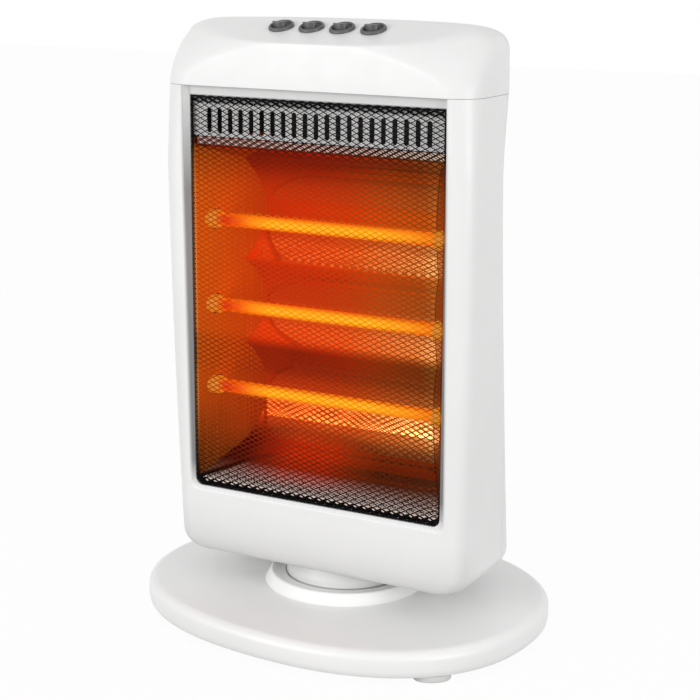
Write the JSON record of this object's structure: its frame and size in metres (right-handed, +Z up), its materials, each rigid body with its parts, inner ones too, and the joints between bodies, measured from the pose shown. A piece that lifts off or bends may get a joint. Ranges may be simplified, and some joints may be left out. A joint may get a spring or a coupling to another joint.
{
  "type": "halogen heater",
  "caption": "Free-standing halogen heater: oval weighted base, swivelling body with a metal guard over troughed reflector and quartz tubes, rocker switches on a sloping top panel.",
  "frame": {"origin": "on the floor, at the centre of the oval base", "axes": "+Z up, -Y the way the window faces, +X to the right for someone who looks at the window"},
  "size_m": [0.3574, 0.2852, 0.5106],
  "materials": {
    "white_shell": "smooth satin moulded plastic",
    "foot_pad": "matt soft pads",
    "ballast": "plain plate",
    "bright_steel": "zinc plated",
    "nylon": "moulded nylon",
    "black_plastic": "moulded",
    "cable": "sleeved wiring",
    "guard_black": "satin black paint",
    "vent_white": "white paint",
    "polished_reflector": "bright rolled aluminium",
    "quartz": "clear quartz",
    "glowing_filament": "glowing tungsten coil",
    "ceramic": "unglazed",
    "switch_grey": "fine satin"
  },
  "bodies": {
    "base": {"base_shell": "white_shell", "base_bottom_cover": "white_shell", "ballast_plate": "ballast", "foot_front_left": "foot_pad", "foot_front_right": "foot_pad", "foot_rear_left": "foot_pad", "foot_rear_right": "foot_pad", "drive_plate": "bright_steel", "swivel_washer": "nylon", "tip_switch_housing": "black_plastic", "cord_gland": "black_plastic", "base_wiring": "cable", "base_screw_1": "bright_steel", "base_screw_2": "bright_steel", "base_screw_3": "bright_steel", "base_screw_4": "bright_steel"},
    "heater_body": {"front_frame": "white_shell", "rear_cover": "white_shell", "top_cover": "white_shell", "neck": "white_shell", "pivot_retainer": "bright_steel", "retainer_screw_1": "bright_steel", "retainer_screw_2": "bright_steel", "retainer_screw_3": "bright_steel", "guard_mesh": "guard_black", "vent_panel": "vent_white", "reflector": "polished_reflector", "reflector_side_left": "polished_reflector", "reflector_side_right": "polished_reflector", "heat_shield": "bright_steel", "quartz_tube_1": "quartz", "quartz_tube_2": "quartz", "quartz_tube_3": "quartz", "filament_1": "glowing_filament", "filament_2": "glowing_filament", "filament_3": "glowing_filament", "lamp_holder_left_1": "ceramic", "lamp_holder_left_2": "ceramic", "lamp_holder_left_3": "ceramic", "lamp_holder_right_1": "ceramic", "lamp_holder_right_2": "ceramic", "lamp_holder_right_3": "ceramic", "switch_housing_1": "switch_grey", "switch_housing_2": "switch_grey", "switch_housing_3": "switch_grey", "switch_housing_4": "switch_grey", "oscillation_motor": "bright_steel", "thermal_cutout": "black_plastic", "terminal_block": "ceramic", "body_wiring": "cable", "rear_screw_1": "bright_steel", "rear_screw_2": "bright_steel", "rear_screw_3": "bright_steel", "rear_screw_4": "bright_steel"},
    "crank": {"crank_disc": "nylon"},
    "tip_pin": {"tip_plunger": "nylon"},
    "rocker_1": {"rocker_1": "switch_grey"},
    "rocker_2": {"rocker_2": "switch_grey"},
    "rocker_3": {"rocker_3": "switch_grey"},
    "rocker_4": {"rocker_4": "switch_grey"}
  },
  "joints": [
    {"name": "oscillation", "type": "hinge", "parent": "base", "child": "heater_body", "pos_m": [0, 0, 0.0385], "axis": [0, 0, 1], "range_deg": [-40, 30]},
    {"name": "crank_turn", "type": "hinge", "parent": "heater_body", "child": "crank", "pos_m": [0, 0.025, 0.03], "axis": [0, 0, 1], "range_deg": [-90, 120]},
    {"name": "tip_press", "type": "slide", "parent": "base", "child": "tip_pin", "axis": [0, 0, 1], "range_m": [-0.006, 0], "stiffness_N_per_m": 40, "springref_m": -0.009},
    {"name": "rocker_1_press", "type": "hinge", "parent": "heater_body", "child": "rocker_1", "pos_m": [-0.042, -0.03527, 0.50258], "axis": [1, 0, 0], "range_deg": [0, 20]},
    {"name": "rocker_2_press", "type": "hinge", "parent": "heater_body", "child": "rocker_2", "pos_m": [-0.014, -0.03527, 0.50258], "axis": [1, 0, 0], "range_deg": [0, 20]},
    {"name": "rocker_3_press", "type": "hinge", "parent": "heater_body", "child": "rocker_3", "pos_m": [0.014, -0.03527, 0.50258], "axis": [1, 0, 0], "range_deg": [0, 20]},
    {"name": "rocker_4_press", "type": "hinge", "parent": "heater_body", "child": "rocker_4", "pos_m": [0.042, -0.03527, 0.50258], "axis": [1, 0, 0], "range_deg": [0, 20]}
  ],
  "couplings": [
    {"joint": "crank_turn", "follows": "oscillation", "ratio": -3}
  ]
}
